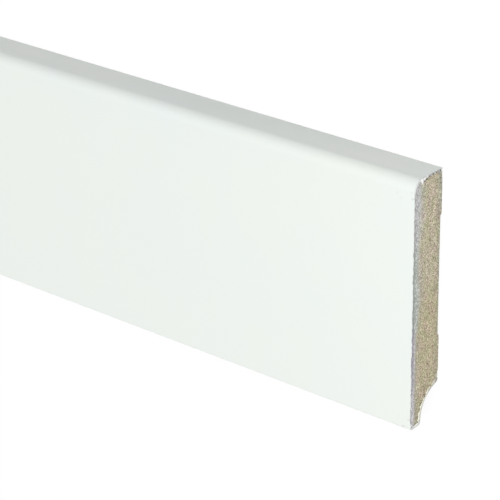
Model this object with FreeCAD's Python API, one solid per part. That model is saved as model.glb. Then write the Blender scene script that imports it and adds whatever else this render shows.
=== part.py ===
# Foil-wrapped skirting board length, millimetres.
# The board lies flat on its back: X runs along the length, Y from the floor edge
# to the top edge, Z from the wall side up to the show face.
# The origin is under the middle of the board, on the plane that it lies on.
# Every section point is written as (depth, rise): depth from the wall side towards
# the show face, rise from the floor edge towards the top edge.

import FreeCAD
import Part

import math
import os

# Finished size over the foil.
stock_length = 2400.0
board_height = 90.0
board_thickness = 15.0

# Roundings, measured on the outside of the foil.
top_rounding = 4.0
foot_front_rounding = 0.5
foot_back_rounding = 1.4
cove_lip_rounding = 1.5

# The foot and the cove behind it, which clears the floor's expansion gap and a cable.
foot_width = 5.5
foot_back_straight = 1.6
cove_radius = 11.0

# Shallow relief planed into the back, so that only two lands touch the wall.
top_land = 16.0
lower_land = 16.0
relief_depth = 0.7
relief_shoulder = 0.7

# Decorative foil wrapped round every face but the back.
foil_thickness = 0.3

# Places that follow from the sizes above.
foot_back = board_thickness - foot_width
cove_centre = (foot_back - cove_radius, foot_back_straight)
lip_reach = cove_radius + cove_lip_rounding
lip_side = cove_lip_rounding - cove_centre[0]
lip_centre = (cove_lip_rounding, cove_centre[1] + math.sqrt(lip_reach**2 - lip_side**2))
lip_angle = math.degrees(math.acos(lip_side / lip_reach))
relief_bottom = lip_centre[1] + lower_land
relief_top = board_height - top_land


def place(point):
    """The 3-D place of a section point, on the board's left sawn end."""
    depth, rise = point
    return FreeCAD.Vector(-stock_length / 2, rise - board_height / 2, depth)


def line(start, end):
    return Part.makeLine(place(start), place(end))


def lines(points):
    return [line(start, end) for start, end in zip(points, points[1:])]


def arc(centre, radius, start_angle, end_angle):
    """An arc of the section, with angles in degrees from the depth axis towards the rise axis."""
    ends = []
    for angle in (start_angle, (start_angle + end_angle) / 2, end_angle):
        turn = math.radians(angle)
        ends.append(
            place((centre[0] + radius * math.cos(turn), centre[1] + radius * math.sin(turn)))
        )
    return Part.Arc(*ends).toShape()


def wrapped_outline(inset):
    """The outline from the top back arris over the show face and foot to the cove's lip.

    An inset of zero is the outside of the foil. The foil's thickness as inset is the machined
    core under it: convex roundings shrink by the inset and the hollow cove grows by it.
    """
    top = board_height - inset
    face = board_thickness - inset
    foot_wall = foot_back + inset
    top_front = (board_thickness - top_rounding, board_height - top_rounding)
    foot_front = (board_thickness - foot_front_rounding, foot_front_rounding)
    foot_rear = (foot_back + foot_back_rounding, foot_back_rounding)
    return [
        line((0, top), (top_front[0], top)),
        arc(top_front, top_rounding - inset, 90, 0),
        line((face, top_front[1]), (face, foot_front[1])),
        arc(foot_front, foot_front_rounding - inset, 0, -90),
        line((foot_front[0], inset), (foot_rear[0], inset)),
        arc(foot_rear, foot_back_rounding - inset, -90, -180),
        line((foot_wall, foot_rear[1]), (foot_wall, cove_centre[1])),
        arc(cove_centre, cove_radius + inset, 0, lip_angle),
        arc(lip_centre, cove_lip_rounding - inset, lip_angle - 180, -180),
    ]


def moulding(edges):
    """Runs a closed section through the whole length of the board."""
    section = Part.Face(Part.Wire(edges))
    return section.extrude(FreeCAD.Vector(stock_length, 0, 0))


def mdf_core():
    """The machined core: flat back lands with the relief between them, a rebate for the foil's
    edge at the cove's lip, and the moulded faces that the foil covers."""
    back = lines(
        [
            (foil_thickness, lip_centre[1]),
            (0, lip_centre[1]),
            (0, relief_bottom),
            (relief_depth, relief_bottom + relief_shoulder),
            (relief_depth, relief_top - relief_shoulder),
            (0, relief_top),
            (0, board_height - foil_thickness),
        ]
    )
    return moulding(wrapped_outline(foil_thickness) + back)


def wrap_foil():
    """The foil: one strip of even thickness from the top back arris to the cove's lip, with
    both long edges trimmed flush with the back."""
    lip_edge = line((0, lip_centre[1]), (foil_thickness, lip_centre[1]))
    inside = list(reversed(wrapped_outline(foil_thickness)))
    top_edge = line((0, board_height - foil_thickness), (0, board_height))
    return moulding(wrapped_outline(0) + [lip_edge] + inside + [top_edge])


os.makedirs("parts", exist_ok=True)
for name, shape in (("mdf_core", mdf_core()), ("wrap_foil", wrap_foil())):
    shape.exportStep(f"parts/{name}.step")
    box = shape.BoundBox
    print(
        name,
        f"{box.XLength:.2f} x {box.YLength:.2f} x {box.ZLength:.2f} mm,",
        f"{shape.Volume / 1000:.1f} cm3, valid {shape.isValid()}",
    )
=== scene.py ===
import math

import bmesh
import bpy
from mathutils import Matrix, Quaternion, Vector, kdtree, noise


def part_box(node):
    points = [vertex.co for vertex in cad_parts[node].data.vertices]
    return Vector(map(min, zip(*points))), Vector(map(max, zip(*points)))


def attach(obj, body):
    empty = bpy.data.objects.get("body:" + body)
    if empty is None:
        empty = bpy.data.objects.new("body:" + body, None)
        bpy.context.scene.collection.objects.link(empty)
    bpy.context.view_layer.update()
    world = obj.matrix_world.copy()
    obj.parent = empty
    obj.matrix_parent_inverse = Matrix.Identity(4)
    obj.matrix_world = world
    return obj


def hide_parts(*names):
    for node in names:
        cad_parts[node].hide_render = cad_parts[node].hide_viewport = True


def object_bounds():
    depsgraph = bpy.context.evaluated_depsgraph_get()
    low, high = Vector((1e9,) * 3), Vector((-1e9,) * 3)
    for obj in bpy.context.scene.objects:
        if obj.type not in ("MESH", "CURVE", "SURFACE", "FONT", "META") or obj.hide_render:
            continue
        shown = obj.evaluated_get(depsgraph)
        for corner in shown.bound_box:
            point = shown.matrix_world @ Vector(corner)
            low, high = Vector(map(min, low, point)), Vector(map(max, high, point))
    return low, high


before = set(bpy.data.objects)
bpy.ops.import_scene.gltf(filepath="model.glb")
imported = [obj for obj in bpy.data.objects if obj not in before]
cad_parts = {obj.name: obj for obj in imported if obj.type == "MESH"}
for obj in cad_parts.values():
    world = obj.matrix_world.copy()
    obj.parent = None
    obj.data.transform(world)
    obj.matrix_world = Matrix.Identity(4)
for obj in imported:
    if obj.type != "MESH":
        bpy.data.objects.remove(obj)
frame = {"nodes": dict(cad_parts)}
cadLow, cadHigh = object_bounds()
print("frame loaded:", ", ".join(frame["nodes"]))

mm = 0.001

# the board's sizes, read from the frame, in millimetres
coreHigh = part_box("mdf_core")[1]
halfLength = round((cadHigh.x - cadLow.x) / 2 / mm, 3)
boardHeight = round((cadHigh.y - cadLow.y) / mm, 3)
boardThickness = round((cadHigh.z - cadLow.z) / mm, 3)
foilThickness = round((cadHigh.z - coreHigh.z) / mm, 3)

# the rest of the section, in millimetres, measured over the foil
section = {
    "topRounding": 4.0,
    "footFrontRounding": 0.5,
    "footBackRounding": 1.4,
    "lipRounding": 1.5,
    "footWidth": 5.5,
    "footStraight": 1.6,
    "coveRadius": 11.0,
    "land": 16.0,
    "reliefDepth": 0.7,
    "reliefShoulder": 0.7,
    "spacing": 0.3,  # between the points of a straight stretch
    "arcSteps": {"crown": 16, "toe": 6, "heel": 6, "cove": 40, "lip": 8},
    "crease": 35,  # degrees from which an edge shows sharp
}
undivided = 1000.0  # a spacing longer than any stretch of the section

# what all pieces share at their sawn ends, in millimetres in from the board's end
sawnEnd = {
    "look": (0.9, 0.6),  # none of the sawn look, and all of it
    "reach": 1.5,  # how far in the roughness is felt
    "least": 0.02,  # that the core and the foil stay in
}

footBack = boardThickness - section["footWidth"]
coveCentre = (footBack - section["coveRadius"], section["footStraight"])
lipReach = section["coveRadius"] + section["lipRounding"]
lipSide = section["lipRounding"] - coveCentre[0]
lipCentre = (section["lipRounding"], coveCentre[1] + math.sqrt(lipReach**2 - lipSide**2))
lipTurn = math.degrees(math.acos(lipSide / lipReach))


# Camera

viewpoint = {
    "place": (1.59851, 0.34247, 0.57182),
    "aim": (1.1252, -0.00312, 0.0075),
    "roll": -117.625,  # degrees, so that the board's height runs up the picture
    "lens": 169.67,
    "sensor": 36.0,
    "clip": (0.05, 200.0),
}


def makeCamera():
    data = bpy.data.cameras.new("photo_camera")
    data.lens = viewpoint["lens"]
    data.sensor_width = viewpoint["sensor"]
    data.clip_start, data.clip_end = viewpoint["clip"]
    camera = bpy.data.objects.new("photo_camera", data)
    place, aim = Vector(viewpoint["place"]), Vector(viewpoint["aim"])
    roll = Quaternion((0, 0, 1), math.radians(viewpoint["roll"]))
    camera.location = place
    camera.rotation_mode = "QUATERNION"
    camera.rotation_quaternion = (aim - place).to_track_quat("-Z", "Y") @ roll
    bpy.context.collection.objects.link(camera)
    bpy.context.scene.camera = camera


makeCamera()
bpy.context.scene.view_settings.view_transform = "Standard"
print("camera placed")


# Node helpers


def picked(red, green, blue):
    # a colour read off a picture, 0 to 255, as Blender's linear values
    parts = [part / 255 for part in (red, green, blue)]
    return (*[p / 12.92 if p < 0.04045 else ((p + 0.055) / 1.055) ** 2.4 for p in parts], 1.0)


def addNode(tree, kind, inputs, **settings):
    made = tree.nodes.new(kind)
    for name, value in settings.items():
        setattr(made, name, value)
    for socket, value in inputs.items():
        if isinstance(value, bpy.types.NodeSocket):
            tree.links.new(value, made.inputs[socket])
        else:
            made.inputs[socket].default_value = value
    return made


def calc(tree, operation, first, second=0.0, third=0.0):
    inputs = {0: first, 1: second, 2: third}
    return addNode(tree, "ShaderNodeMath", inputs, operation=operation).outputs[0]


def ease(tree, value, low, high, start=0.0, end=1.0):
    # runs smoothly from start to end as the value goes from low to high
    inputs = {"Value": value, "From Min": low, "From Max": high, "To Min": start, "To Max": end}
    kind = "ShaderNodeMapRange"
    return addNode(tree, kind, inputs, interpolation_type="SMOOTHSTEP").outputs["Result"]


def blend(tree, factor, first, second, mode="MIX"):
    inputs = {0: factor, 6: first, 7: second}
    return addNode(tree, "ShaderNodeMix", inputs, data_type="RGBA", blend_type=mode).outputs[2]


def times(tree, first, *others):
    for other in others:
        first = calc(tree, "MULTIPLY", first, other)
    return first


def between(tree, value, low, lowEnd, highStart, high):
    # 1 from lowEnd to highStart, and 0 below low and above high
    return times(tree, ease(tree, value, low, lowEnd), ease(tree, value, high, highStart))


def tinted(tree, colour, tint):
    return blend(tree, 1.0, colour, tint, "MULTIPLY")


def toned(tree, value, colour, steps):
    # turns into each next tone as the value crosses that tone's range
    for tone, low, high in steps:
        colour = blend(tree, ease(tree, value, low, high), colour, tone)
    return colour


def stretched(tree, vector, factors):
    kind = "ShaderNodeVectorMath"
    return addNode(tree, kind, {0: vector, 1: factors}, operation="MULTIPLY").outputs["Vector"]


def split(tree, vector):
    return addNode(tree, "ShaderNodeSeparateXYZ", {0: vector}).outputs


def useGroup(tree, group, inputs):
    return addNode(tree, "ShaderNodeGroup", inputs, node_tree=group).outputs[0]


def newGroup(name, inputs, output):
    tree = bpy.data.node_groups.new(name, "ShaderNodeTree")
    for label, kind in inputs.items():
        tree.interface.new_socket(label, in_out="INPUT", socket_type="NodeSocket" + kind)
    tree.interface.new_socket(output, in_out="OUTPUT", socket_type="NodeSocketFloat")
    return tree, tree.nodes.new("NodeGroupInput").outputs, tree.nodes.new("NodeGroupOutput")


# Shared effects, each a mask or an amount from 0 to 1


def makeFlecksGroup():
    # separate specks: a share of the cells of a Voronoi pattern has one round spot each
    inputs = {"Place": "Vector", "Density": "Float", "Share": "Float", "Size": "Float"}
    tree, given, result = newGroup("flecks", inputs, "Mask")
    sockets = {"Vector": given["Place"], "Scale": given["Density"]}
    cells = addNode(tree, "ShaderNodeTexVoronoi", sockets).outputs
    chance = addNode(tree, "ShaderNodeSeparateColor", {0: cells["Color"]}).outputs[0]
    chosen = calc(tree, "LESS_THAN", chance, given["Share"])
    heart = times(tree, given["Size"], 0.4)
    spot = ease(tree, cells["Distance"], given["Size"], heart)
    tree.links.new(times(tree, chosen, spot), result.inputs["Mask"])
    return tree


def makeMottleGroup():
    # soft clouds round a mean of a half
    inputs = {"Place": "Vector", "Density": "Float", "Detail": "Float"}
    tree, given, result = newGroup("mottle", inputs, "Amount")
    sockets = {"Vector": given["Place"], "Scale": given["Density"], "Detail": given["Detail"]}
    cloud = addNode(tree, "ShaderNodeTexNoise", {**sockets, "Roughness": 0.6}).outputs["Fac"]
    spread = {"Value": cloud, "From Min": 0.25, "From Max": 0.75}
    amount = addNode(tree, "ShaderNodeMapRange", spread).outputs["Result"]
    tree.links.new(amount, result.inputs["Amount"])
    return tree


def makeSpeckleGroup():
    # grit: a value of its own for each small cell, from 0 to 1, with softened borders
    inputs = {"Place": "Vector", "Density": "Float"}
    tree, given, result = newGroup("speckle", inputs, "Amount")
    sockets = {"Vector": given["Place"], "Scale": given["Density"], "Smoothness": 0.35}
    kind = "ShaderNodeTexVoronoi"
    cells = addNode(tree, kind, sockets, feature="SMOOTH_F1").outputs
    amount = addNode(tree, "ShaderNodeSeparateColor", {0: cells["Color"]}).outputs[0]
    tree.links.new(amount, result.inputs["Amount"])
    return tree


def makeSawnGroup():
    # 1 on the two sawn ends, and fading out close beside them
    tree, given, result = newGroup("sawnEnd", {"Place": "Vector"}, "Mask")
    along = calc(tree, "ABSOLUTE", split(tree, given["Place"])["X"])
    mask = ease(tree, along, *[halfLength - reach for reach in sawnEnd["look"]])
    tree.links.new(mask, result.inputs["Mask"])
    return tree


flecksGroup = makeFlecksGroup()
mottleGroup = makeMottleGroup()
speckleGroup = makeSpeckleGroup()
sawnGroup = makeSawnGroup()


def boardPlace(tree):
    # object coordinates in millimetres: X along, Y up from the foot, Z out from the wall
    coords = addNode(tree, "ShaderNodeTexCoord", {}).outputs["Object"]
    inputs = {"Vector": coords, "Location": (0, boardHeight / 2, 0), "Scale": (1 / mm,) * 3}
    return addNode(tree, "ShaderNodeMapping", inputs).outputs["Vector"]


def flecks(tree, place, density, share, size):
    inputs = {"Place": place, "Density": density, "Share": share, "Size": size}
    return useGroup(tree, flecksGroup, inputs)


def mottle(tree, place, density, detail=2.0):
    return useGroup(tree, mottleGroup, {"Place": place, "Density": density, "Detail": detail})


def speckle(tree, place, density):
    return useGroup(tree, speckleGroup, {"Place": place, "Density": density})


def newMaterial(name, plainColour):
    material = bpy.data.materials.new(name)
    material.use_nodes = True
    material.diffuse_color = plainColour
    material.node_tree.nodes.clear()
    return material, material.node_tree


def finishMaterial(tree, colour, roughness, height, bump, **plain):
    # bump is how many millimetres the height's 0 to 1 stands for
    sockets = {"Height": height, "Strength": 1.0, "Distance": bump * mm}
    normal = addNode(tree, "ShaderNodeBump", sockets).outputs["Normal"]
    sockets = {"Base Color": colour, "Roughness": roughness, "Normal": normal}
    sockets.update({label.replace("_", " "): value for label, value in plain.items()})
    surface = addNode(tree, "ShaderNodeBsdfPrincipled", sockets).outputs["BSDF"]
    addNode(tree, "ShaderNodeOutputMaterial", {"Surface": surface})


# Raw MDF, with its sawn ends

fibreboard = {
    "dark": picked(98, 89, 66),
    "middle": picked(194, 185, 164),
    "light": picked(247, 239, 219),
    "chip": picked(248, 242, 226),
    "pit": picked(108, 98, 76),
    "oliveTint": picked(246, 251, 236),
    "pinkTint": picked(255, 247, 248),
    "upperTint": (0.99, 1.0, 1.02, 1.0),
    "lowerTint": (1.005, 1.0, 0.96, 1.0),
    "borderTint": (0.95, 1.01, 1.13, 1.0),  # bluer, and no darker
    "skinTint": picked(243, 246, 249),
    "skinStreak": picked(148, 149, 136),
    "planed": picked(178, 171, 154),
    # dark line just inside the foil: glue and bared core, with painted shadow under the torn foil
    "tornLineAndShade": picked(116, 113, 102),
    "combed": (0.12, 1.2, 1.7),  # stretch of the fibres, along the board
    "grainDensity": 3.1,  # per millimetre
    "chips": (1.15, 0.19, 0.45),  # density, share and size of the pale ones
    "pits": (1.1, 0.16, 0.45),
    # rises between which each comes in
    "lowerTintBelow": (56, 40),
    "coolSkinAbove": (74, 80),
    "topLineAbove": (84.5, 87.5),
    "coveLineBelow": (17, 14),
    "turnedBelow": (15.9, 15.2),
    "skinDepth": (3.2, 1.2),  # from the back, in millimetres
    "planedShare": 0.55,  # how far the planed back hides its grain
    "bump": 0.12,
    "planedBump": 0.25,  # the share of it left on the planed back
    "smearBump": 0.25,  # and under the smear, which fills the grain
    "specular": 0.25,
}

sawSmear = {
    "tone": picked(170, 176, 167),
    # each next tone, and the rises between which it takes over
    "toneSteps": (
        (picked(183, 183, 182), 60, 68),
        (picked(182, 177, 182), 36, 28),
        (picked(190, 187, 191), 20, 10),
    ),
    # colour of the darker streaks and grit, and of the painted shadow line under the foil's edge
    "darkAndShadow": picked(144, 144, 145),
    "darkAndShadowSteps": ((picked(142, 148, 142), 72, 64), (picked(148, 142, 152), 40, 34)),
    "light": picked(228, 228, 229),
    "fleck": picked(242, 242, 240),
    "inner": picked(167, 168, 159),
    "shade": picked(138, 140, 130),
    "atFoot": 13.1,  # depth at which it begins, at the foot
    "lean": 0.0185,  # and how much lower that lies for each millimetre up
    "ragged": 0.9,
    # the rises at which its border lies deeper or less deep, and by how much
    "shifts": (((34, 40, 50, 56), -0.65), ((18, 24, 32, 36), 0.15)),
    "border": (-0.9, 0.8),  # from none of it to all of it
    "dirtBelow": (2.3, 1.3),
    "drawn": (1.0, 0.75, 1.7),  # stretch of its streaks
    "drawnDensity": 1.7,
    "dashStretch": (1.0, 0.6, 1.4),
    "dashes": (1.3, 0.24, 0.42),  # density, share and size
    "gritStretch": (1.0, 0.9, 1.5),
    "gritDensity": 2.0,
    # depths over which the painted shadow line under the foil's edge comes in
    "shadowLineDepth": (13.4, 14.1),
    "shadeBand": (-2.2, -1.0, -0.5, 0.4),  # where the shaded core lies, from the border
}


def smearOnEnd(tree, place):
    # the saw's grey smear beside the show face: where it lies, and its colour, with a painted
    # shadow line close under the foil's edge
    care = sawSmear
    rise, depth = split(tree, place)["Y"], split(tree, place)["Z"]
    border = calc(tree, "MULTIPLY_ADD", rise, -care["lean"], care["atFoot"] - care["ragged"] / 2)
    for rises, shift in care["shifts"]:
        border = calc(tree, "MULTIPLY_ADD", between(tree, rise, *rises), shift, border)
    border = calc(tree, "MULTIPLY_ADD", mottle(tree, place, 0.6, 3.0), care["ragged"], border)
    inward = calc(tree, "SUBTRACT", depth, border)
    smear = ease(tree, inward, *care["border"])
    tone = toned(tree, rise, care["tone"], care["toneSteps"])
    tone = blend(tree, ease(tree, rise, *care["dirtBelow"]), tone, film["dirty"])
    # for the darker streaks and grit, and for the painted shadow line under the foil's edge
    dark = toned(tree, rise, care["darkAndShadow"], care["darkAndShadowSteps"])
    # drawn up and down by the blade, more boldly in the lower half
    drawn = mottle(tree, stretched(tree, place, care["drawn"]), care["drawnDensity"], 4.0)
    boldest = ease(tree, rise, 64, 54, 0.4, 0.23)
    lightest, darkest = [calc(tree, way, 0.5, boldest) for way in ("ADD", "SUBTRACT")]
    tone = blend(tree, ease(tree, drawn, 0.5, lightest, 0.0, 0.9), tone, care["light"])
    tone = blend(tree, ease(tree, drawn, 0.5, darkest, 0.0, 0.95), tone, dark)
    dashes = flecks(tree, stretched(tree, place, care["dashStretch"]), *care["dashes"])
    tone = blend(tree, dashes, tone, care["fleck"])
    grit = speckle(tree, stretched(tree, place, care["gritStretch"]), care["gritDensity"])
    tone = blend(tree, ease(tree, grit, 0.65, 0.1, 0.0, 0.62), tone, dark)
    tone = blend(tree, ease(tree, grit, 0.5, 0.95, 0.0, 0.5), tone, care["fleck"])
    # duller where it thins out over the core
    inner = times(tree, ease(tree, inward, 1.0, -0.4), ease(tree, rise, 8, 14, 0.0, 0.85))
    tone = blend(tree, inner, tone, care["inner"])
    # painted shadow: a dark line close under the foil's edge, strongest in the lower half
    darkAndShadow = times(
        tree,
        ease(tree, depth, *care["shadowLineDepth"]),
        ease(tree, rise, 86, 56, 0.3, 0.9),
        ease(tree, drawn, 0.9, 0.3, 0.5, 1.0),
        ease(tree, rise, 10, 20),
    )
    return smear, inward, blend(tree, darkAndShadow, tone, dark)


def shadeInside(tree, place, inward, colour):
    # bluer core beside the smear, with a darker broken line in it in the lower half
    rise = split(tree, place)["Y"]
    tinge = times(tree, ease(tree, rise, 40, 46, 0.45, 1.0), ease(tree, rise, 62, 54, 0.3, 0.8))
    tinge = calc(tree, "MAXIMUM", tinge, ease(tree, rise, 66, 72))
    tinge = times(tree, tinge, ease(tree, inward, -3.4, -0.8))
    colour = blend(tree, tinge, colour, tinted(tree, colour, fibreboard["borderTint"]))
    most = times(tree, ease(tree, rise, 44, 36, 0.0, 0.4), ease(tree, rise, 29, 23, 1.0, 0.4))
    most = calc(tree, "ADD", most, ease(tree, rise, 20, 14, 0.0, 0.35))
    broken = ease(tree, mottle(tree, stretched(tree, place, (1.0, 0.6, 1.0)), 0.7), 0.2, 0.7)
    shade = times(tree, between(tree, inward, *sawSmear["shadeBand"]), most, broken)
    return blend(tree, shade, colour, sawSmear["shade"])


def tornOnEnd(tree, place, colour):
    # the dark broken line just inside the foil, partly glue and bared core and partly painted
    # shadow under the torn foil: bold along the top, spots beside the cove
    care = fibreboard
    rise, depth = split(tree, place)["Y"], split(tree, place)["Z"]
    rim = addNode(tree, "ShaderNodeAttribute", {}, attribute_name="rim").outputs["Fac"]
    ragged = mottle(tree, place, 1.1, 3.0)
    reach = calc(tree, "MULTIPLY_ADD", ragged, ease(tree, depth, 5.0, 9.0, 0.95, 2.4), 0.12)
    line = ease(tree, calc(tree, "SUBTRACT", rim, reach), 0.25, -0.25)
    broken = ease(tree, mottle(tree, place, 0.9, 1.0), 0.3, 0.6, 0.4, 0.95)
    atTop = [ease(tree, rise, *care["topLineAbove"]), ease(tree, depth, 12.0, 11.2)]
    spots = ease(tree, mottle(tree, place, 0.55), 0.35, 0.7, 0.0, 0.8)
    atCove = [ease(tree, rise, *care["coveLineBelow"]), ease(tree, depth, 12.5, 11.5)]
    both = calc(tree, "ADD", times(tree, *atTop, broken), times(tree, spots, *atCove))
    # painted shadow under the torn foil's edge, with the glue line
    colour = blend(tree, times(tree, line, both), colour, care["tornLineAndShade"])
    # and the pale shred turned up round the cove's lip
    turned = ease(tree, rise, *care["turnedBelow"], 0.0, 0.7)
    turned = times(tree, ease(tree, depth, 1.3, 0.7), turned)
    return blend(tree, turned, colour, film["cream"])


def fibreColour(tree, place, fibres, grain, chips, pits):
    # the sawn or planed board itself, without what the saw left on it
    care = fibreboard
    rise, depth = split(tree, place)["Y"], split(tree, place)["Z"]
    colour = blend(tree, ease(tree, grain, 0.13, 0.5), care["dark"], care["middle"])
    colour = blend(tree, ease(tree, grain, 0.5, 0.87), colour, care["light"])
    colour = blend(tree, times(tree, chips, 0.95), colour, care["chip"])
    colour = blend(tree, times(tree, pits, 0.75), colour, care["pit"])
    patches = ease(tree, mottle(tree, fibres, 0.18, 4.0), 0.15, 0.85)
    colour = tinted(tree, colour, blend(tree, patches, care["oliveTint"], care["pinkTint"]))
    lower = ease(tree, rise, *care["lowerTintBelow"])
    colour = tinted(tree, colour, blend(tree, lower, care["upperTint"], care["lowerTint"]))
    clouds = mottle(tree, stretched(tree, fibres, (1.0, -0.6, -1.4)), 0.25, 3.0)
    clouds = ease(tree, clouds, 0.0, 1.0, 0.86, 1.12)
    grey = addNode(tree, "ShaderNodeCombineColor", {0: clouds, 1: clouds, 2: clouds}).outputs[0]
    colour = tinted(tree, colour, grey)
    # the denser skin of the sheet, darker and streaked, along the wall side
    wallSide = ease(tree, depth, *care["skinDepth"])
    skin = tinted(tree, colour, care["skinTint"])
    cool = times(tree, wallSide, ease(tree, rise, *care["coolSkinAbove"], 0.0, 0.5))
    skin = blend(tree, cool, skin, tinted(tree, skin, care["borderTint"]))
    streaks = mottle(tree, stretched(tree, place, (0.1, 0.3, 1.8)), 1.3, 3.0)
    skin = blend(tree, ease(tree, streaks, 0.5, 0.8, 0.0, 0.5), skin, care["skinStreak"])
    return blend(tree, wallSide, colour, skin)


def makeRawMdf():
    care = fibreboard
    material, tree = newMaterial("raw_mdf", care["middle"])
    place = boardPlace(tree)
    onEnd = useGroup(tree, sawnGroup, {"Place": place})
    fibres = stretched(tree, place, care["combed"])
    fine = mottle(tree, fibres, care["grainDensity"], 4.0)
    grit = speckle(tree, fibres, care["grainDensity"] * 0.8)
    grain = calc(tree, "MULTIPLY_ADD", grit, 0.5, times(tree, fine, 0.5))
    chips = flecks(tree, fibres, *care["chips"])
    pits = flecks(tree, stretched(tree, fibres, (1.0, -1.0, 1.0)), *care["pits"])
    colour = fibreColour(tree, place, fibres, grain, chips, pits)
    smear, inward, smearColour = smearOnEnd(tree, place)
    # the back is planed smooth, so its grain shows less
    planed = blend(tree, care["planedShare"], colour, care["planed"])
    ended = blend(tree, smear, shadeInside(tree, place, inward, colour), smearColour)
    colour = blend(tree, onEnd, planed, tornOnEnd(tree, place, ended))
    roughness = ease(tree, grain, 0.0, 1.0, 0.95, 0.82)
    height = calc(tree, "ADD", grain, calc(tree, "SUBTRACT", chips, pits))
    unsmeared = ease(tree, smear, 0.0, 1.0, 1.0, care["smearBump"])
    unplaned = ease(tree, onEnd, 0.0, 1.0, care["planedBump"], 1.0)
    height, specular = times(tree, height, unsmeared, unplaned), care["specular"]
    finishMaterial(tree, colour, roughness, height, care["bump"], Specular_IOR_Level=specular)
    return material


# White foil, and the torn fringe of it along the cuts

film = {
    "cool": picked(237, 243, 240),
    "warm": picked(240, 244, 238),
    "dust": picked(214, 212, 204),
    "scuff": picked(205, 203, 196),
    "cut": picked(176, 176, 175),
    "cutLow": picked(153, 153, 157),
    "cutAtCove": picked(222, 220, 204),
    "cutAtFoot": picked(222, 223, 225),
    "torn": picked(214, 214, 213),
    "tornWall": picked(160, 158, 158),
    "tornPale": picked(232, 232, 230),
    "flake": picked(255, 255, 252),
    "cream": picked(222, 221, 202),
    "creamPale": picked(247, 245, 232),
    # painted shade under the cove's lip
    "lipShade": picked(196, 191, 177),
    "dirty": picked(227, 227, 224),
    "dirtyDark": picked(206, 206, 205),
    "dirtyPale": picked(236, 236, 230),
    "dustSpecks": (0.11, 0.2, 0.03),  # density, share and size
    # rises between which each comes in
    "scuffed": (82.5, 83.5, 85.5, 86.5),
    "scuffedBelow": (6, 3),
    "cutLowBelow": (52, 44),
    "cutAtCoveBelow": (17, 16),
    "cutAtFootBelow": (2.4, 1.4),
    "creamBelow": (20, 17),
    "dirtBelow": (2.1, 1.4),
    "scuffsFromEnd": (9, 4),  # millimetres: none of them yet, and all of them
    "roughness": 0.42,
    "bump": 0.002,
    "tornBump": 0.05,
}


def scuffsOnFace(tree, place):
    # faint scuffs on the face, close to the saw cuts
    care = film
    rise, depth = split(tree, place)["Y"], split(tree, place)["Z"]
    along = calc(tree, "ABSOLUTE", split(tree, place)["X"])
    scuffed = between(tree, rise, *care["scuffed"])
    scuffed = calc(tree, "ADD", scuffed, ease(tree, rise, *care["scuffedBelow"]))
    onFace = ease(tree, depth, boardThickness - 1, boardThickness)
    nearCut = ease(tree, along, *[halfLength - reach for reach in care["scuffsFromEnd"]])
    spots = flecks(tree, stretched(tree, place, (0.6, 1.0, 0.2)), 0.9, 0.6, 0.5)
    return times(tree, scuffed, onFace, nearCut, spots, 0.4)


def cutEdge(tree, place):
    # the colour of the foil's own cut edge
    care = film
    rise, depth = split(tree, place)["Y"], split(tree, place)["Z"]
    edge = blend(tree, ease(tree, rise, *care["cutLowBelow"]), care["cut"], care["cutLow"])
    coved = ease(tree, depth, footBack + 1.2, footBack + 0.8)
    coved = times(tree, coved, ease(tree, rise, *care["cutAtCoveBelow"]))
    edge = blend(tree, coved, edge, care["cutAtCove"])
    return blend(tree, ease(tree, rise, *care["cutAtFootBelow"]), edge, care["cutAtFoot"])


def makeWhiteFoil():
    care = film
    material, tree = newMaterial("white_foil", care["cool"])
    place = boardPlace(tree)
    colour = blend(tree, mottle(tree, place, 0.03), care["cool"], care["warm"])
    dust = times(tree, flecks(tree, place, *care["dustSpecks"]), 0.5)
    colour = blend(tree, dust, colour, care["dust"])
    colour = blend(tree, scuffsOnFace(tree, place), colour, care["scuff"])
    # the cut edge lies between the outside and the glue
    inside = addNode(tree, "ShaderNodeAttribute", {}, attribute_name="inside").outputs["Fac"]
    onEnd = useGroup(tree, sawnGroup, {"Place": place})
    cut = times(tree, onEnd, ease(tree, inside, 0.0, foilThickness * 0.4))
    colour = blend(tree, cut, colour, cutEdge(tree, place))
    peel = mottle(tree, place, 0.8, 1.0)
    rubs = mottle(tree, stretched(tree, place, (0.05, 1.0, 1.0)), 0.25)
    roughness = calc(tree, "MULTIPLY_ADD", rubs, 0.1, care["roughness"] - 0.05)
    height = calc(tree, "MULTIPLY_ADD", dust, 2.0, peel)
    finishMaterial(tree, colour, roughness, height, care["bump"])
    return material


def makeTornFoil():
    care = film
    material, tree = newMaterial("torn_foil", care["torn"])
    place = boardPlace(tree)
    rise, depth = split(tree, place)["Y"], split(tree, place)["Z"]
    fray = mottle(tree, place, 1.8, 3.0)
    colour = blend(tree, ease(tree, depth, 8.5, 6.5), care["torn"], care["tornWall"])
    pale = times(tree, ease(tree, fray, 0.5, 0.9), ease(tree, depth, 6, 9, 0.4, 1.0))
    colour = blend(tree, pale, colour, care["tornPale"])
    # stained by the core along the cove, with painted shade under the lip towards the wall
    stained = blend(tree, ease(tree, fray, 0.3, 0.8), care["cream"], care["creamPale"])
    # painted shade, deeper towards the wall under the lip
    stained = blend(tree, ease(tree, depth, 6.5, 4.5, 0.0, 0.75), stained, care["lipShade"])
    colour = blend(tree, ease(tree, rise, *care["creamBelow"]), colour, stained)
    # the strip under the foot has picked up dirt, less of it behind the face
    dirt = blend(tree, ease(tree, fray, 0.3, 0.7), care["dirtyDark"], care["dirty"])
    behind = ease(tree, depth, boardThickness - 2, boardThickness - 3)
    dirt = blend(tree, behind, dirt, care["dirtyPale"])
    colour = blend(tree, ease(tree, rise, *care["dirtBelow"]), colour, dirt)
    whiteness = addNode(tree, "ShaderNodeAttribute", {}, attribute_name="whiteness").outputs["Fac"]
    # each flake whiter by its given share
    colour = blend(tree, whiteness, colour, care["flake"])
    finishMaterial(tree, colour, ease(tree, fray, 0, 1, 0.75, 0.5), fray, care["tornBump"])
    return material


# Studio floor and light

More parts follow.
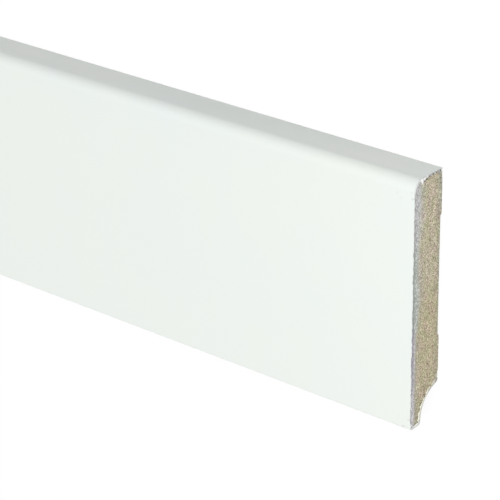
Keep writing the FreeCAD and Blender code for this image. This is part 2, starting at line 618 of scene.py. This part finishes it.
studio = {
    "floorSize": 60.0,  # metres
    "floorOwnShare": 0.12,  # how much of the floor's white is lit, and so can hold a shadow
    "floorLit": 0.92,  # the light that falls on the open floor
    "floorBounce": 0.413,
    "worldStrength": 0.495,
    "sunStrength": 1.51,
    "sunAngle": 32.0,  # degrees across, for soft shadows
    "sunLean": (0.41, 0.13, 1.0),
    "lampPlace": (1.5, 0.12, 0.1),  # beside the near end, with a twin beside the far one
    "lampAim": (1.2, 0.0, 0.01),
    "lampSize": 0.16,
    "lampPower": 0.424,
}


def makeFloor():
    material, tree = newMaterial("studio_floor", picked(255, 255, 255))
    rays = addNode(tree, "ShaderNodeLightPath", {}).outputs
    own, bounce = studio["floorOwnShare"], studio["floorBounce"]
    grey = blend(tree, rays["Is Camera Ray"], (bounce,) * 3 + (1,), (own,) * 3 + (1,))
    lit = addNode(tree, "ShaderNodeBsdfDiffuse", {"Color": grey}).outputs["BSDF"]
    direct = calc(tree, "ADD", rays["Is Glossy Ray"], rays["Is Transmission Ray"])
    glow = 1.0 - own * studio["floorLit"]
    glow = calc(tree, "MULTIPLY_ADD", rays["Is Camera Ray"], glow, direct)
    white = addNode(tree, "ShaderNodeEmission", {"Strength": glow}).outputs["Emission"]
    both = addNode(tree, "ShaderNodeAddShader", {0: lit, 1: white}).outputs["Shader"]
    addNode(tree, "ShaderNodeOutputMaterial", {"Surface": both})
    bm = bmesh.new()
    bmesh.ops.create_grid(bm, x_segments=1, y_segments=1, size=studio["floorSize"] / 2)
    floor = finishPiece(bm, "studio_floor", material)


def makeLight():
    world = bpy.data.worlds.new("studio_world")
    world.use_nodes = True
    bpy.context.scene.world = world
    tree = world.node_tree
    tree.nodes.clear()
    rays = addNode(tree, "ShaderNodeLightPath", {}).outputs
    seen = calc(tree, "ADD", rays["Is Camera Ray"], rays["Is Glossy Ray"])
    seen = calc(tree, "MINIMUM", calc(tree, "ADD", seen, rays["Is Transmission Ray"]), 1.0)
    strength = ease(tree, seen, 0.0, 1.0, studio["worldStrength"], 1.0)
    sky = {"Color": (1, 1, 1, 1), "Strength": strength}
    background = addNode(tree, "ShaderNodeBackground", sky).outputs["Background"]
    addNode(tree, "ShaderNodeOutputWorld", {"Surface": background})
    sun = bpy.data.lights.new("overhead_light", "SUN")
    sun.energy = studio["sunStrength"]
    sun.angle = math.radians(studio["sunAngle"])
    aimLight(sun, studio["sunLean"], (0, 0, 0))
    for side, name in ((1, "near_end_light"), (-1, "far_end_light")):
        lamp = bpy.data.lights.new(name, "AREA")
        lamp.shape = "DISK"
        lamp.size = studio["lampSize"]
        lamp.energy = studio["lampPower"]
        turned = Vector((side, 1, 1))
        aimLight(lamp, Vector(studio["lampPlace"]) * turned, Vector(studio["lampAim"]) * turned)


def aimLight(data, place, aim):
    light = bpy.data.objects.new(data.name, data)
    light.location = place
    light.rotation_mode = "QUATERNION"
    light.rotation_quaternion = (Vector(aim) - Vector(place)).to_track_quat("-Z", "Y")
    light.visible_camera = False
    light.visible_glossy = False
    bpy.context.collection.objects.link(light)


# Mesh helpers


def at(depth, rise):
    # a point of the section, on the board's left end
    return Vector((-halfLength, rise - boardHeight / 2, depth)) * mm


def riseOf(place):
    return place.y / mm + boardHeight / 2


def onlyVerts(geometry):
    return [item for item in geometry if isinstance(item, bmesh.types.BMVert)]


def cutAcross(bm, place, normal):
    geometry = bm.verts[:] + bm.edges[:] + bm.faces[:]
    bmesh.ops.bisect_plane(bm, geom=geometry, dist=1e-8, plane_co=place, plane_no=normal)


def lineTo(bm, tip, depth, rise, spacing=undivided):
    start, end = tip.co.copy(), at(depth, rise)
    steps = max(1, round((end - start).length / mm / spacing))
    for i in range(steps):
        tip = bmesh.ops.extrude_vert_indiv(bm, verts=[tip])["verts"][0]
        tip.co = start.lerp(end, (i + 1) / steps)
    return tip


def arcTo(bm, tip, centre, turn, steps):
    # turn is in degrees, from the depth axis towards the rise axis
    swept = bmesh.ops.spin(
        bm, geom=[tip], cent=at(*centre), axis=(-1, 0, 0), angle=math.radians(turn), steps=steps
    )
    return onlyVerts(swept["geom_last"])[0]


def wrappedOutline(bm, inset, spacing=undivided):
    # the foiled side of the section, from the top back arris round to the cove's lip
    crown, toe = section["topRounding"], section["footFrontRounding"]
    heel, steps = section["footBackRounding"], section["arcSteps"]
    top, face = boardHeight - inset, boardThickness - inset
    first = tip = bm.verts.new(at(0, top))
    tip = lineTo(bm, tip, boardThickness - crown, top, spacing)
    tip = arcTo(bm, tip, (boardThickness - crown, boardHeight - crown), -90, steps["crown"])
    tip = lineTo(bm, tip, face, toe, spacing)
    tip = arcTo(bm, tip, (boardThickness - toe, toe), -90, steps["toe"])
    tip = lineTo(bm, tip, footBack + heel, inset, spacing)
    tip = arcTo(bm, tip, (footBack + heel, heel), -90, steps["heel"])
    tip = lineTo(bm, tip, footBack + inset, section["footStraight"], spacing)
    tip = arcTo(bm, tip, coveCentre, lipTurn, steps["cove"])
    tip = arcTo(bm, tip, lipCentre, -lipTurn, steps["lip"])
    return first, tip


def noteAlong(first, layer):
    # writes each point's distance along an open chain, in millimetres, and returns the chain
    chain, total = [first], 0.0
    while True:
        nexts = [e.other_vert(chain[-1]) for e in chain[-1].link_edges]
        nexts = [v for v in nexts if v not in chain[-2:]]
        if not nexts:
            return chain
        total += (nexts[0].co - chain[-1].co).length / mm
        nexts[0][layer] = total
        chain.append(nexts[0])


def runThrough(bm, rings):
    # runs the section from the left end to the right end, with rings at those distances
    made = bmesh.ops.extrude_face_region(bm, geom=bm.faces[:], use_keep_orig=True)
    moved = onlyVerts(made["geom"])
    bmesh.ops.translate(bm, verts=moved, vec=(2 * halfLength * mm, 0, 0))
    bmesh.ops.recalc_face_normals(bm, faces=bm.faces[:])
    for edge in bm.edges:
        if edge.is_manifold and edge.calc_face_angle() > math.radians(section["crease"]):
            edge.smooth = False
    for ring in rings:
        cutAcross(bm, Vector((ring * mm, 0, 0)), (1, 0, 0))


def ringPlaces(fromEnds, span):
    near = [side * (halfLength - d) for side in (-1, 1) for d in fromEnds]
    steps = int(halfLength / span)
    return near + [i * span for i in range(-steps + 1, steps)]


def mapAlong(x):
    # the bake map's share for a place along the board: the last 20 mm at each end get more
    near, share = 20.0, 0.15
    if abs(x) > halfLength - near:
        edge = share * (halfLength - abs(x)) / near
        return edge if x < 0 else 1 - edge
    return share + (1 - 2 * share) * (x + halfLength - near) / 2 / (halfLength - near)


def inMargins(share):
    # keeps a share just off the rim of the bake map
    return 0.005 + 0.99 * share


def column(layout, name, share):
    # a place across one of the bake map's columns
    start, width = layout[name]
    return start + width * share


def finishPiece(bm, name, material):
    mesh = bpy.data.meshes.new(name)
    bm.to_mesh(mesh)
    bm.free()
    mesh.materials.append(material)
    piece = bpy.data.objects.new(name, mesh)
    bpy.context.collection.objects.link(piece)
    for face in mesh.polygons:
        face.use_smooth = True
    return piece


def pushIn(vert, depth):
    # moves a point in from its end, less the further in it already lies, so that nothing folds
    gap = halfLength - abs(vert.co.x) / mm
    vert.co.x -= math.copysign(depth * max(0.0, 1 - gap / sawnEnd["reach"]), vert.co.x) * mm


def ease01(value, low, high):
    # 0 at low, 1 at high, smooth between
    share = min(1.0, max(0.0, (value - low) / (high - low)))
    return share * share * (3 - 2 * share)


def hum(point, density, seed):
    # smooth noise between about -1 and 1, at that many waves a millimetre
    return noise.noise(Vector(point) * density / mm + Vector((seed, 3.7 * seed, 1.3 * seed)))


# Sawn core

sawnCore = {
    "grid": 0.3,  # of the end faces
    "rings": (0.4, 1.2, 4.0, 12.0),
    "span": 200.0,
    "setBack": 0.18,  # of the sawn face behind the foil's torn fringe
    "setBackNear": (4.0, 2.4),  # distances from the foil: none of that yet, and all of it
    "grain": 0.07,
    "sawWave": 0.03,
    "pitDepth": 0.16,
    "brokenEdge": 0.22,
    "brokenWidth": 0.9,
    # the bake map's columns: where each starts, and its width
    "map": {
        "nearEnd": (0.005, 0.16),
        "farEnd": (0.185, 0.16),
        "hidden": (0.36, 0.045),
        "bare": (0.42, 0.575),
    },
}


def coreSection(bm):
    along = bm.verts.layers.float.new("along")
    first, tip = wrappedOutline(bm, foilThickness)
    reliefLow = lipCentre[1] + section["land"]
    reliefHigh = boardHeight - section["land"]
    relief, shoulder = section["reliefDepth"], section["reliefShoulder"]
    back = [
        (foilThickness, lipCentre[1]),
        (0, lipCentre[1]),
        (0, reliefLow),
        (relief, reliefLow + shoulder),
        (relief, reliefHigh - shoulder),
        (0, reliefHigh),
    ]
    noteAlong(first, along)
    for point in back[1:]:
        tip = lineTo(bm, tip, *point)
    bm.edges.new((tip, first))
    bmesh.ops.edgeloop_fill(bm, edges=bm.edges[:])


def cutGrid(bm):
    step = sawnCore["grid"]
    for axis, length in ((Vector((0, 0, 1)), boardThickness), (Vector((0, 1, 0)), boardHeight)):
        for i in range(1, int(length / step)):
            cutAcross(bm, at(0, 0) + axis * (i * step * mm), axis)


def roughenEnds(bm, foilPoints):
    # saw marks, pulled fibres and the broken edge beside the foil, all cut inwards
    care = sawnCore
    rim = bm.verts.layers.float["rim"]
    for vert in bm.verts:
        side = math.copysign(1, vert.co.x)
        spot = Vector((side * 7 * mm, vert.co.y, vert.co.z))
        rise = riseOf(vert.co)
        near = foilPoints.find(at(vert.co.z / mm, rise))[2] / mm
        vert[rim] = near
        least = max(sawnEnd["least"], care["setBack"] * ease01(near, *care["setBackNear"]))
        depth = least + care["grain"] * hum(spot, 1.1, 2)
        slanted = Vector((spot.x, spot.y + 0.4 * spot.z, 0))
        depth += care["sawWave"] * hum(slanted, 0.5, 5)
        depth += care["pitDepth"] * max(0.0, hum(spot, 0.8, 9) - 0.3)
        top = min(1.0, max(0.0, (rise - 80) / 8))
        broken = max(0.0, 1 - near / care["brokenWidth"]) * (0.25 + 0.75 * top)
        depth += care["brokenEdge"] * broken * (1 + hum(spot, 0.7, 12))
        pushIn(vert, max(least, depth))


def mapCore(bm):
    # the bake's map: each sawn end large, the bare back wide, what the foil hides narrow
    uv = bm.loops.layers.uv.new("OFBake")
    along = bm.verts.layers.float["along"]
    total = max(v[along] for v in bm.verts)
    layout = sawnCore["map"]
    for face in bm.faces:
        isEnd = all(abs(v.co.x) > (halfLength - 1) * mm for v in face.verts)
        isEnd = isEnd and abs(face.normal.x) > 0.7
        bare = face.normal.z < -0.3 and face.calc_center_median().z < 1.2 * mm
        for loop in face.loops:
            spot = loop.vert.co
            high = inMargins(spot.y / mm / boardHeight + 0.5)
            if isEnd:
                end = "nearEnd" if spot.x > 0 else "farEnd"
                loop[uv].uv = (column(layout, end, spot.z / mm / boardThickness), high)
            elif bare:
                loop[uv].uv = (column(layout, "bare", high), mapAlong(spot.x / mm))
            else:
                across = column(layout, "hidden", loop.vert[along] / total)
                loop[uv].uv = (across, mapAlong(spot.x / mm))


def makeSawnCore(material):
    bm = bmesh.new()
    bm.verts.layers.float.new("rim")
    coreSection(bm)
    cutGrid(bm)
    runThrough(bm, ringPlaces(sawnCore["rings"], sawnCore["span"]))
    mapCore(bm)
    roughenEnds(bm, foilLine())
    piece = finishPiece(bm, "sawn_core", material)
    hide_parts("mdf_core")
    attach(piece, "root")


def foilLine():
    # a search tree of points along the foil's inside, to tell how far a place is from it
    bm = bmesh.new()
    wrappedOutline(bm, foilThickness, section["spacing"])
    tree = kdtree.KDTree(len(bm.verts))
    for i, vert in enumerate(bm.verts):
        tree.insert(vert.co, i)
    tree.balance()
    bm.free()
    return tree


# Foil wrap

foilWrap = {
    "rings": (0.12, 0.35, 0.8, 2.0, 6.0),
    "span": 100.0,
    "back": 0.09,  # how far the sawn edge lies inside the board's end
    "jitter": 0.04,  # of that edge, along the board
    "bevel": 0.04,  # how much further in its outside lies than its glued side
    "chip": 0.3,
    "frontChip": 0.36,  # where the edge of the show face has broken away
    "frontBand": 0.45,  # the depth of that edge
    # rises between which it is worn, up the face and at the foot
    "wornFrom": (20, 26),
    "wornTo": (60, 52),
    "wornFoot": (13, 9),
    # the bake map's columns: where each starts, and its width
    "map": {
        "nearEnd": (0.93, 0.01),
        "farEnd": (0.95, 0.01),
        "lipEdge": (0.97, 0.01),
        "topEdge": (0.985, 0.01),
        "inside": (0.86, 0.06),
        "outside": (0.005, 0.84),
    },
}


def foilSection(bm):
    # two outlines, outside and inside, bridged to a strip of even width
    inside = bm.verts.layers.float.new("inside")
    along = bm.verts.layers.float.new("along")
    for inset in (0.0, foilThickness):
        first = wrappedOutline(bm, inset, section["spacing"])[0]
        for vert in noteAlong(first, along):
            vert[inside] = inset
    bmesh.ops.bridge_loops(bm, edges=bm.edges[:])


def chipEnds(bm):
    care = foilWrap
    inside = bm.verts.layers.float["inside"]
    for vert in bm.verts:
        side = math.copysign(1, vert.co.x)
        spot = Vector((side * 5 * mm, vert.co.y, vert.co.z))
        back = care["back"] + care["jitter"] * hum(spot, 1.6, 21)
        back += care["chip"] * max(0.0, hum(spot, 0.55, 24) - 0.25)
        if not vert[inside]:
            back += care["bevel"] + 0.3 * care["chip"] * max(0.0, hum(spot, 1.1, 27))
        if vert.co.z / mm > boardThickness - care["frontBand"]:
            rise = riseOf(vert.co)
            worn = ease01(rise, *care["wornFrom"]) * ease01(rise, *care["wornTo"])
            worn = max(worn, ease01(rise, *care["wornFoot"]))
            broken = 0.4 * worn - 0.22 + 0.9 * hum(spot, 0.22, 33) + 0.9 * hum(spot, 0.85, 36)
            back += care["frontChip"] * max(0.0, broken) * ease01(rise, 1.5, 3.0)
        pushIn(vert, max(sawnEnd["least"], back))


def mapFoil(bm):
    uv = bm.loops.layers.uv.new("OFBake")
    inside, along = bm.verts.layers.float["inside"], bm.verts.layers.float["along"]
    total = max(v[along] for v in bm.verts)
    layout = foilWrap["map"]
    for face in bm.faces:
        depths = [v[inside] for v in face.verts]
        crossing = max(depths) > min(depths)
        isEnd = crossing and abs(face.normal.x) > 0.7
        for loop in face.loops:
            share = loop.vert[along] / total
            x = loop.vert.co.x / mm
            across = 1.0 if loop.vert[inside] else 0.0
            if isEnd:
                end = "nearEnd" if x > 0 else "farEnd"
                loop[uv].uv = (column(layout, end, across), inMargins(share))
            elif crossing:
                edge = "lipEdge" if share > 0.5 else "topEdge"
                loop[uv].uv = (column(layout, edge, across), mapAlong(x))
            else:
                side = "inside" if across else "outside"
                loop[uv].uv = (column(layout, side, share), mapAlong(x))


def makeFoilWrap(material):
    bm = bmesh.new()
    foilSection(bm)
    runThrough(bm, ringPlaces(foilWrap["rings"], foilWrap["span"]))
    mapFoil(bm)
    chipEnds(bm)
    piece = finishPiece(bm, "foil_wrap", material)
    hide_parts("wrap_foil")
    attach(piece, "root")


# Torn fringe: what the saw pulled over each cut

tornFringe = {
    "thickness": 0.045,
    "spacing": 0.15,  # between the points that can make a tooth
    "topTooth": 0.6,
    "footTooth": 0.75,
    "coveTooth": 0.85,
    "root": 0.1,  # how far it starts out from the sawn face
    "reach": 0.178,  # and how far out it may go at most
    "lift": 0.05,  # of the tips
    "flakeTop": 0.22,  # how far under the top edge a flake hangs
    "flakeCurl": 0.03,
    "flakeCup": 0.02,
    # separate curled flakes along each end's top: depth, width, length, lean in degrees, and
    # how white they are
    "nearFlakes": (
        (11.65, 0.75, 1.35, 12, 0.5),
        (11.2, 0.85, 2.1, 14, 0.7),
        (9.75, 0.9, 0.95, 4, 0.75),
        (10.5, 0.8, 1.1, 0, 0.0),
        (8.3, 0.7, 0.6, -8, 0.2),
        (6.5, 0.8, 0.7, 10, 0.1),
        (4.3, 0.7, 0.8, 20, 0.35),
        (2.2, 0.7, 1.9, 35, 0.0),
        (0.5, 0.5, 0.9, 0, 0.8),
    ),
    "farFlakes": (
        (10.6, 0.9, 1.6, -14, 1.0),
        (8.8, 0.7, 1.0, 18, 0.6),
        (5.2, 0.7, 1.7, 6, 0.4),
        (3.1, 0.6, 0.9, -20, 0.3),
        (1.2, 0.6, 1.2, 10, 0.9),
    ),
}


def toothLength(spot, depth, rise, side):
    # how far the torn foil reaches in over the sawn face there, or 0 where the cut is clean
    care = tornFringe
    fine = hum(spot, 0.95, 31 + side)
    sharp = max(0.0, 1 - 2.5 * abs(hum(spot, 0.55, 35 + side)))
    shaggy = hum(spot, 2.1, 45)
    if rise < 20:  # the cove and the foot
        if depth > boardThickness - 0.5:  # the foot's front corner
            return 0.2 * ease01(rise, 1.1, 0.4)
        if rise < 0.8:  # under the foot
            corner = ease01(depth, boardThickness - 0.4, boardThickness - 1.2)
            taller = 0.35 * ease01(depth, boardThickness - 2, boardThickness - 3)
            return care["footTooth"] * (0.25 + (0.7 + 0.3 * fine + taller) * corner)
        heel = ease01(rise, 7.0, 3.5)  # fuller where the cove meets the foot
        lip = ease01(depth, 3.0, 1.0)  # and where it ends at the wall
        full = 0.85 + 0.7 * fine + 1.1 * shaggy + 0.5 * heel + 0.7 * lip
        return care["coveTooth"] * max(0.3, full)
    if depth > 11.7:  # the front of the top rounding
        return 0.4 * ease01(rise, boardHeight - 5, boardHeight - 3) * (1 + 0.4 * fine)
    # ragged beside the rounding, few and short teeth towards the wall
    wall = ease01(depth, 9.5, 6.0)
    length = 0.8 * sharp + 0.7 * fine + 0.5 * shaggy + 0.3 - 0.75 * wall
    return care["topTooth"] * max(0.0, length) * ease01(rise, boardHeight - 3, boardHeight - 1.8)


def tearStrip(bm, side):
    # a strip from the foil's outside to the tips of its teeth, left out where nothing tore
    care = tornFringe
    along = bm.verts.layers.float["along"]
    edges, rows = [], []
    for inset in (0.02, foilThickness):
        known = set(bm.edges)
        first = wrappedOutline(bm, inset, care["spacing"])[0]
        edges += [e for e in bm.edges if e not in known]
        rows.append(noteAlong(first, along))
    whole = set()
    for outer, inner in zip(*rows):
        depth, rise = outer.co.z / mm, riseOf(outer.co)
        inward = (inner.co - outer.co).normalized()
        spot = Vector((side * 3 * mm, outer.co.y, outer.co.z))
        length = toothLength(spot, depth, rise, side)
        inner.co += inward * length * mm
        inner.co.x += care["lift"] * mm * min(1.0, length) * hum(spot, 0.6, 41)
        if not length:
            whole.update((outer, inner))
    strip = bmesh.ops.bridge_loops(bm, edges=edges)["faces"]
    plain = [f for f in strip if any(v in whole for v in f.verts)]
    kept = [f for f in strip if f not in set(plain)]
    bmesh.ops.delete(bm, geom=plain, context="FACES")
    made = bmesh.ops.extrude_face_region(bm, geom=kept, use_keep_orig=True)["geom"]
    bmesh.ops.translate(bm, verts=onlyVerts(made), vec=(care["thickness"] * mm, 0, 0))


def shapeFlake(bm, depth, width, length, lean, whiteness):
    # one curled tongue of foil, hanging from the top edge over the sawn face
    care = tornFringe
    made = bmesh.ops.create_grid(bm, x_segments=6, y_segments=8, size=0.5)["verts"]
    whitenessLayer = bm.verts.layers.float["whiteness"]
    for vert in made:
        vert[whitenessLayer] = whiteness
        down = 0.5 - vert.co.y
        across = vert.co.x * (1 - 0.55 * down**3)
        ragged = 1 + 0.3 * noise.noise(Vector((depth + across * 4, 5.1, 0)))
        ragged -= 0.5 * across**2
        curl = care["flakeCurl"] * math.sin(math.pi * down) - care["flakeCup"] * (2 * across) ** 2
        vert.co = Vector((curl, -length * down * ragged, width * across)) * mm
    turn = Quaternion((1, 0, 0), math.radians(lean)).to_matrix()
    bmesh.ops.rotate(bm, verts=made, cent=(0, 0, 0), matrix=turn)
    bmesh.ops.translate(bm, verts=made, vec=at(depth, boardHeight - care["flakeTop"]))


def makeEndFringe(side, flakes):
    # drawn at the left end, then moved to its own end with its tips outwards
    care = tornFringe
    bm = bmesh.new()
    bm.verts.layers.float.new("along")
    bm.verts.layers.float.new("whiteness")
    for flake in flakes:
        shapeFlake(bm, *flake)
    bmesh.ops.solidify(bm, geom=bm.faces[:], thickness=care["thickness"] * mm)
    tearStrip(bm, side)
    for vert in bm.verts:
        out = vert.co.x / mm + halfLength
        out = min(care["reach"], max(0.0, care["root"] + out))
        vert.co.x = side * (halfLength - sawnCore["setBack"] + out) * mm
    mesh = bpy.data.meshes.new("end_fringe")
    bm.to_mesh(mesh)
    bm.free()
    return mesh


def makeTornFringe(material):
    bm = bmesh.new()
    for side, flakes in ((-1, tornFringe["farFlakes"]), (1, tornFringe["nearFlakes"])):
        mesh = makeEndFringe(side, flakes)
        bm.from_mesh(mesh)
        bpy.data.meshes.remove(mesh)
    bmesh.ops.recalc_face_normals(bm, faces=bm.faces[:])
    piece = finishPiece(bm, "torn_fringe", material)
    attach(piece, "root")


makeFloor()
makeLight()
print("floor and light made")
makeSawnCore(makeRawMdf())
print("sawn core made")
makeFoilWrap(makeWhiteFoil())
print("foil wrap made")
makeTornFringe(makeTornFoil())
print("torn fringe made")
